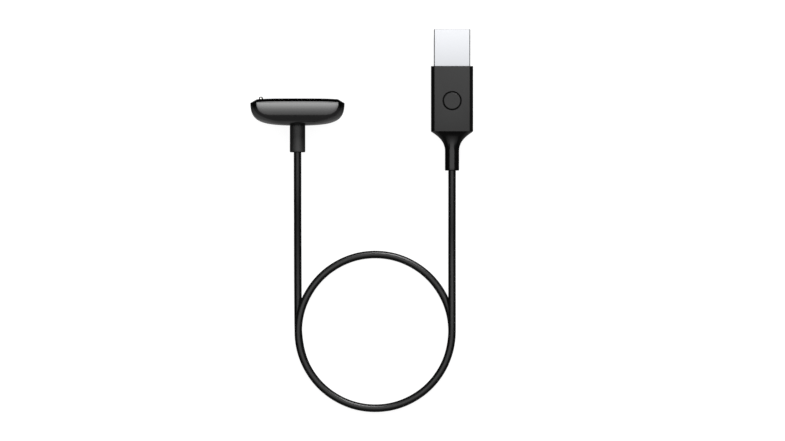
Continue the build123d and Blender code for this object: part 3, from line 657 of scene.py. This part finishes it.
def make_usb_shell():
    """Folded sheet tube with a rounded tip, and two latch windows and its seam in the rear face."""
    tip, inner_end = usb_high.y, usb_low.y
    profile = [(0, inner_end), (0, tip), (USB_SHEET, tip), (USB_SHEET, inner_end)]
    sections = []
    for inset, y in softened(profile, SHEET_ROUNDING):
        corner = max(USB_CORNER - inset, USB_CORNER - USB_SHEET)
        ring = rounded_ring(HALF_USB - inset, HALF_USB_HEIGHT - inset, corner)
        sections.append(section(ring, y, PLUG_X, PLUG_Z))
    piece = loft("connector_shell", sections, closed=True)
    half_x, half_y = LATCH_WINDOW
    cutters = []
    for side in (1, -1):
        x, y = PLUG_X + side * LATCH_X, tip - LATCH_BACK
        cutters.append(bar((x - half_x, y - half_y, -MM), (x + half_x, y + half_y, PLUG_Z - MM)))
    seam_low = (PLUG_X - FOLD_GAP, inner_end - MM, -MM)
    seam_high = (PLUG_X + FOLD_GAP, tip + MM, PLUG_Z - REAR_FACE_DEPTH)
    cutters.append(bar(seam_low, seam_high))
    cut(piece, *cutters)
    shaded(piece.data, sharp_from=30)
    settle(piece, "cable", "usb_metal", "usb_shell")


dock_gloss = [make_hull(), make_face_plate()]
dock_gloss += [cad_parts["pin_plunger_near"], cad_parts["pin_plunger_far"]]
cord = make_cord()
make_plug_boot()
make_housing()
make_usb_shell()


# ---------------------------------------------------------------- table, light and camera
def make_table():
    """Large pale surface that the cable lies on."""
    mesh = bpy.data.meshes.new("table")
    reach = 4.0
    corners = [(-reach, -reach, 0), (reach, -reach, 0), (reach, reach, 0), (-reach, reach, 0)]
    mesh.from_pydata(corners, [], [(0, 1, 2, 3)])
    table = bpy.data.objects.new("table", mesh)
    bpy.context.scene.collection.objects.link(table)
    mesh.materials.append(
        moulded(
            "table_white", grey(0.14), grey(0.16), (0.7, 0.8), 4 * MM,
            **{"Specular IOR Level": 0.1, "Emission Color": (1, 1, 1, 1), "Emission Strength": 0.92},
        )
    )
    table.visible_glossy = False


def area_light(name, size, place, target, radiance):
    """Rectangular soft light of an even radiance, which the camera does not see."""
    data = bpy.data.lights.new(name, "AREA")
    data.shape = "RECTANGLE"
    data.size, data.size_y = size
    data.energy = radiance * math.pi * size[0] * size[1]
    light = bpy.data.objects.new(name, data)
    light.location = place
    light.rotation_euler = (Vector(target) - Vector(place)).to_track_quat("-Z", "Y").to_euler()
    light.visible_camera = False
    bpy.context.scene.collection.objects.link(light)
    return light


def make_lights(unlit_by_strip):
    """A soft box overhead, in bands that dim from the zenith toward -Y, and a strip beyond the dock."""
    middle = (cad_low + cad_high) / 2
    height, width = 1.0, 1.5
    brightest, fade = 2.8, math.radians(21)
    bands = 12
    near, far = math.radians(-30), math.radians(48)
    for band in range(bands):
        from_angle = near + (far - near) * band / bands
        to_angle = near + (far - near) * (band + 1) / bands
        start, end = height * math.tan(from_angle), height * math.tan(to_angle)
        away = max(0.0, (from_angle + to_angle) / 2)
        place = Vector((middle.x, middle.y - (start + end) / 2, height))
        below = place - Vector((0, 0, 1))
        radiance = brightest * math.exp(-away / fade)
        area_light(f"overhead_{band}", (width, end - start), place, below, radiance)
    azimuth, elevation = math.radians(75), math.radians(30)
    strip_size, strip_distance, strip_radiance = (0.5, 0.25), 1.2, 55.0
    level = math.cos(elevation)
    direction = Vector((math.cos(azimuth) * level, math.sin(azimuth) * level, math.sin(elevation)))
    place = middle + direction * strip_distance
    strip = area_light("edge_strip", strip_size, place, middle, strip_radiance)
    # the dock's gloss parts would mirror the strip as a white spot
    skipped = bpy.data.collections.new("unlit_by_strip")
    strip.light_linking.receiver_collection = skipped
    for piece in unlit_by_strip:
        skipped.objects.link(piece)
    for member in skipped.collection_objects:
        member.light_linking.link_state = "EXCLUDE"


def make_world():
    """Dark surroundings with a little light toward -Y and straight below. The camera sees white."""
    world = bpy.data.worlds.new("studio")
    bpy.context.scene.world = world
    world.use_nodes = True
    tree = world.node_tree
    tree.nodes.clear()
    link = tree.links.new
    direction = node(tree, "ShaderNodeTexCoord")
    split = node(tree, "ShaderNodeSeparateXYZ")
    link(direction.outputs["Generated"], split.inputs["Vector"])

    def rising(axis, start, end, top):
        """From 0 where the axis value is start to top where it is end."""
        made = node(tree, "ShaderNodeMapRange", {"From Min": start, "From Max": end, "To Max": top})
        link(split.outputs[axis], made.inputs["Value"])
        return made.outputs["Result"]

    def joined(operation, first, second):
        """Sum or product of two values."""
        made = node(tree, "ShaderNodeMath", operation=operation)
        link(first, made.inputs[0])
        link(second, made.inputs[1])
        return made.outputs["Value"]

    wall = rising("Y", -0.3, -0.7, 0.09)
    ground = joined("MULTIPLY", rising("Y", -0.1, -0.5, 1.0), rising("Z", 0.02, -0.2, 0.12))
    straight_down = rising("Z", -0.7, -0.95, 0.2)
    dim = joined("ADD", wall, joined("ADD", ground, straight_down))
    ray = node(tree, "ShaderNodeLightPath")
    shade = node(tree, "ShaderNodeMix", data_type="FLOAT")
    shade.inputs[NUMBER_B].default_value = 1.0
    link(ray.outputs["Is Camera Ray"], shade.inputs[MIX_SHARE])
    link(dim, shade.inputs[NUMBER_A])
    background = node(tree, "ShaderNodeBackground", {"Color": (1, 1, 1, 1)})
    output = node(tree, "ShaderNodeOutputWorld")
    link(shade.outputs[NUMBER_OUT], background.inputs["Strength"])
    link(background.outputs["Background"], output.inputs["Surface"])


def make_camera():
    """Looks straight down, with +Y up in the picture."""
    view_width = 0.259
    lens, sensor = 400.0, 36.0
    focus_height = 8 * MM
    data = bpy.data.cameras.new("camera")
    data.lens, data.sensor_width = lens, sensor
    data.clip_start, data.clip_end = 0.1, 20
    camera = bpy.data.objects.new("camera", data)
    middle = (cad_low + cad_high) / 2
    aside, up = 10.1 * MM, 0.06 * MM
    distance = view_width * lens / sensor
    camera.location = (middle.x + aside, middle.y + up, focus_height + distance)
    bpy.context.scene.collection.objects.link(camera)
    bpy.context.scene.camera = camera


make_table()
make_lights(dock_gloss)
make_world()
make_camera()
bpy.context.scene.view_settings.view_transform = "Standard"
